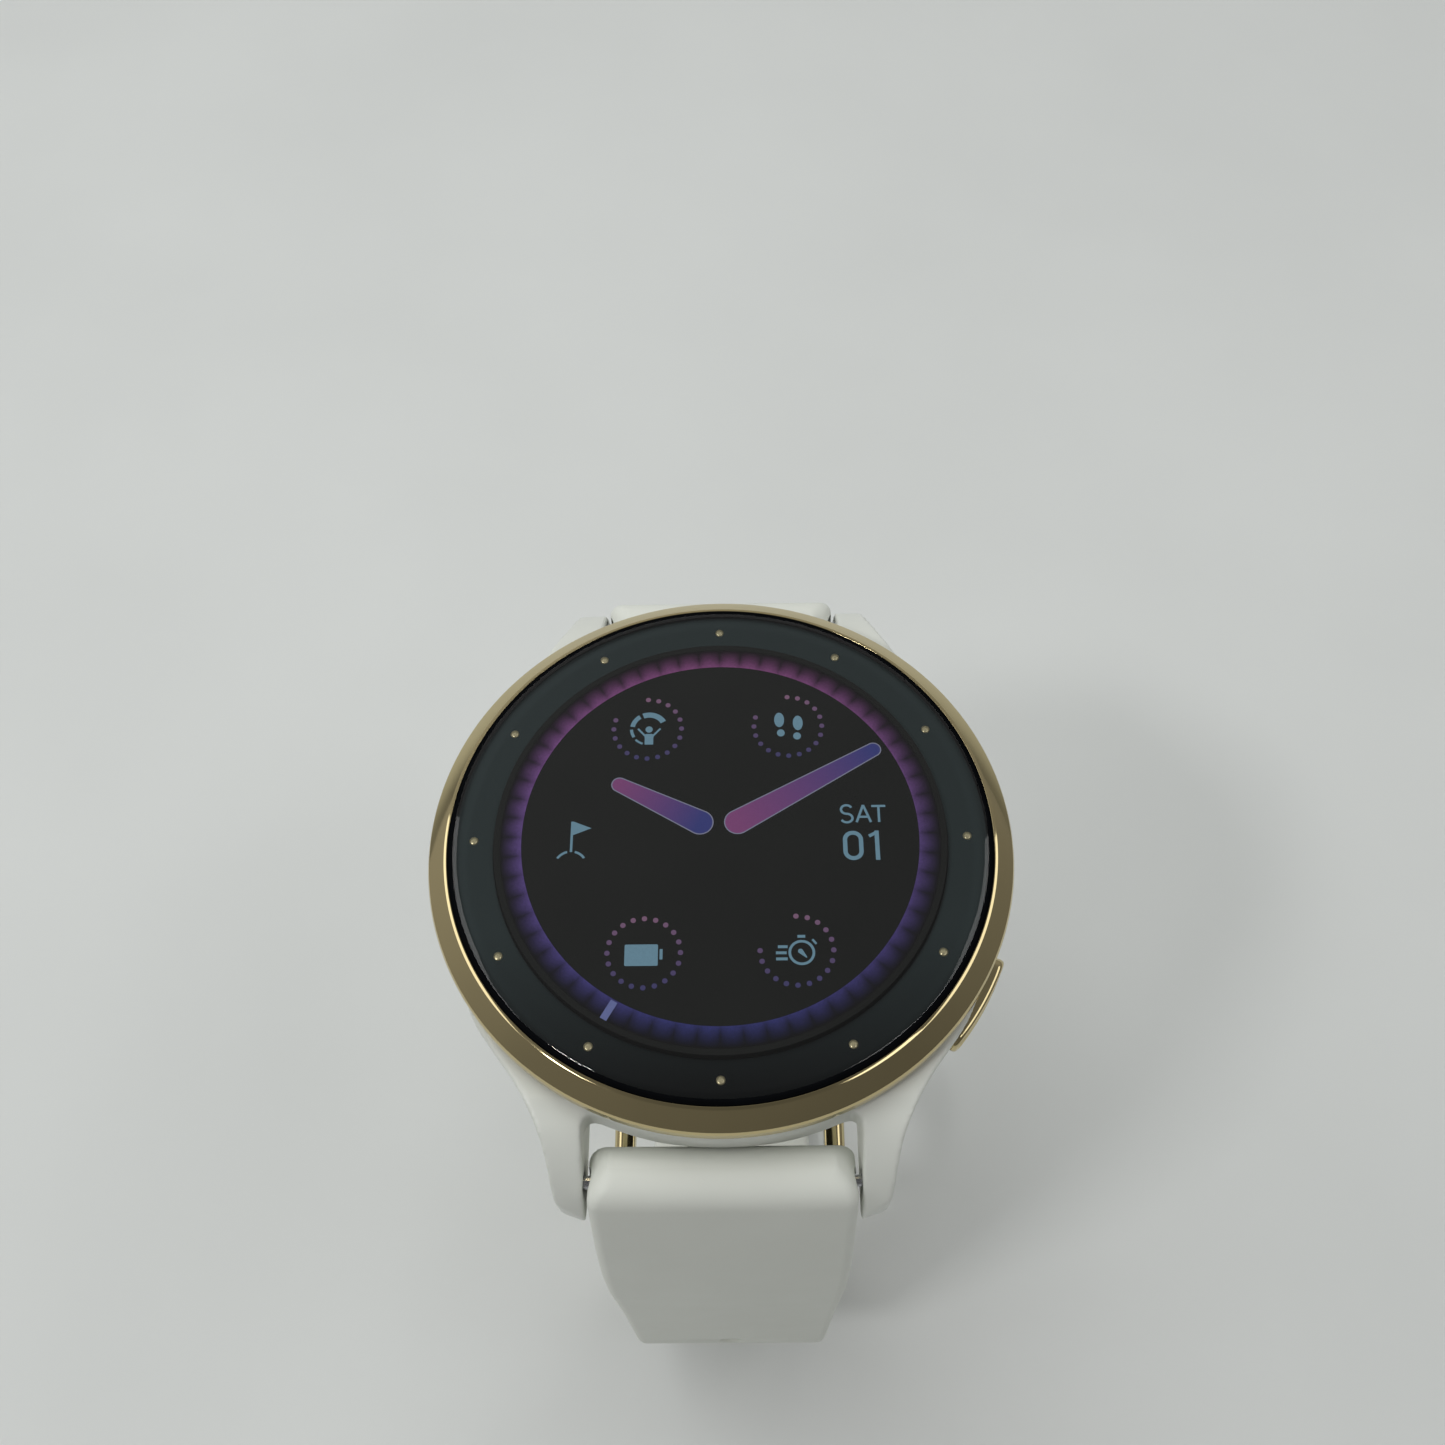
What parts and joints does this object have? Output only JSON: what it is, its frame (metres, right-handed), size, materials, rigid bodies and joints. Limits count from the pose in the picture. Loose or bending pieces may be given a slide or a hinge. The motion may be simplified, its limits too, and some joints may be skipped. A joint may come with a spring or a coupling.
{
  "type": "golf gps watch",
  "caption": "Round golf GPS watch with a gold bezel, ivory case, three side buttons and an open two-part silicone strap; it shows distance data and tracks its position by satellite.",
  "frame": {"origin": "middle of the flat sensor window on the back of the case, on the dial axis", "axes": "+Z out of the dial, +Y towards 12 o'clock, +X towards 3 o'clock, where the buttons are"},
  "size_m": [0.0412, 0.0524, 0.0649],
  "materials": {
    "case": "satin ivory moulded polymer",
    "strap": "silky matt ivory silicone",
    "bezel": "polished light gold coating",
    "glass": "polished clear cover glass",
    "tinted": "polished dark tinted window",
    "black": "black polymer and print",
    "screen": "lit display panel",
    "back": "satin ivory moulded polymer",
    "rubber": "black seal rubber",
    "steel": "bright stainless steel",
    "gold": "gold-plated contact",
    "board": "green solder mask",
    "flex": "amber flexible circuit",
    "ceramic": "fired antenna ceramic",
    "foil": "laminated pouch foil",
    "led": "clear encapsulated emitter"
  },
  "bodies": {
    "watch_head": {"case_body": "case", "bezel": "bezel", "cover_glass": "glass", "dial_ring": "black", "glass_gasket": "black", "display_panel": "screen", "display_flex": "flex", "inner_frame": "black", "gps_antenna": "ceramic", "main_board": "board", "processor_shield": "steel", "gps_module": "black", "battery": "foil", "vibration_motor": "steel", "sensor_board": "board", "sensor_led_left": "led", "sensor_led_right": "led", "sensor_window": "tinted", "back_cover": "back", "back_seal": "rubber", "charge_port": "black", "side_flex": "flex", "photodiode_1": "black", "back_screw_1": "steel", "charge_pin_1": "gold", "photodiode_2": "black", "back_screw_2": "steel", "charge_pin_2": "gold", "photodiode_3": "black", "back_screw_3": "steel", "charge_pin_3": "gold", "photodiode_4": "black", "back_screw_4": "steel", "charge_pin_4": "gold", "button_seal_upper": "rubber", "switch_upper": "steel", "button_seal_middle": "rubber", "switch_middle": "steel", "button_seal_lower": "rubber", "switch_lower": "steel"},
    "strap_lower_half": {"strap_lower": "strap", "bar_tube_lower": "steel", "bar_spring_lower": "steel"},
    "strap_upper_half": {"strap_upper": "strap", "bar_tube_upper": "steel", "bar_spring_upper": "steel"},
    "release_lower": {"release_pin_lower": "steel"},
    "release_upper": {"release_pin_upper": "steel"},
    "buckle": {"buckle_frame": "bezel", "buckle_bar": "steel"},
    "tongue": {"buckle_tongue": "bezel"},
    "keeper": {"keeper_loop": "strap"},
    "button_upper_body": {"button_upper": "bezel", "button_clip_upper": "steel"},
    "button_middle_body": {"button_middle": "bezel", "button_clip_middle": "steel"},
    "button_lower_body": {"button_lower": "bezel", "button_clip_lower": "steel"}
  },
  "joints": [
    {"name": "strap_lower_hinge", "type": "hinge", "parent": "watch_head", "child": "strap_lower_half", "pos_m": [0, -0.022, 0.0049], "axis": [-1, 0, 0], "range_deg": [-4, 90]},
    {"name": "strap_upper_hinge", "type": "hinge", "parent": "watch_head", "child": "strap_upper_half", "pos_m": [0, 0.022, 0.0049], "axis": [1, 0, 0], "range_deg": [-6, 90]},
    {"name": "release_lower_slide", "type": "slide", "parent": "strap_lower_half", "child": "release_lower", "axis": [-1, 0, 0], "range_m": [0, 0.0011], "stiffness_N_per_m": 800, "springref_m": -0.002, "deforming": ["bar_spring_lower"]},
    {"name": "release_upper_slide", "type": "slide", "parent": "strap_upper_half", "child": "release_upper", "axis": [-1, 0, 0], "range_m": [0, 0.0011], "stiffness_N_per_m": 800, "springref_m": -0.002, "deforming": ["bar_spring_upper"]},
    {"name": "buckle_hinge", "type": "hinge", "parent": "strap_upper_half", "child": "buckle", "pos_m": [0, -0.00565, -0.03412], "axis": [1, 0, 0], "range_deg": [-75, 75]},
    {"name": "tongue_hinge", "type": "hinge", "parent": "buckle", "child": "tongue", "pos_m": [0, -0.00565, -0.03412], "axis": [1, 0, 0], "range_deg": [0, 60]},
    {"name": "keeper_travel", "type": "hinge", "parent": "strap_upper_half", "child": "keeper", "pos_m": [0, 0.00235, -0.01182], "axis": [1, 0, 0], "range_deg": [-12, 35]},
    {"name": "button_upper_press", "type": "slide", "parent": "watch_head", "child": "button_upper_body", "axis": [-0.848, -0.5299, 0], "range_m": [0, 0.0004], "stiffness_N_per_m": 1500, "springref_m": -0.0006},
    {"name": "button_middle_press", "type": "slide", "parent": "watch_head", "child": "button_middle_body", "axis": [-1, 0, 0], "range_m": [0, 0.0004], "stiffness_N_per_m": 1500, "springref_m": -0.0006},
    {"name": "button_lower_press", "type": "slide", "parent": "watch_head", "child": "button_lower_body", "axis": [-0.848, 0.5299, 0], "range_m": [0, 0.0004], "stiffness_N_per_m": 1500, "springref_m": -0.0006}
  ]
}
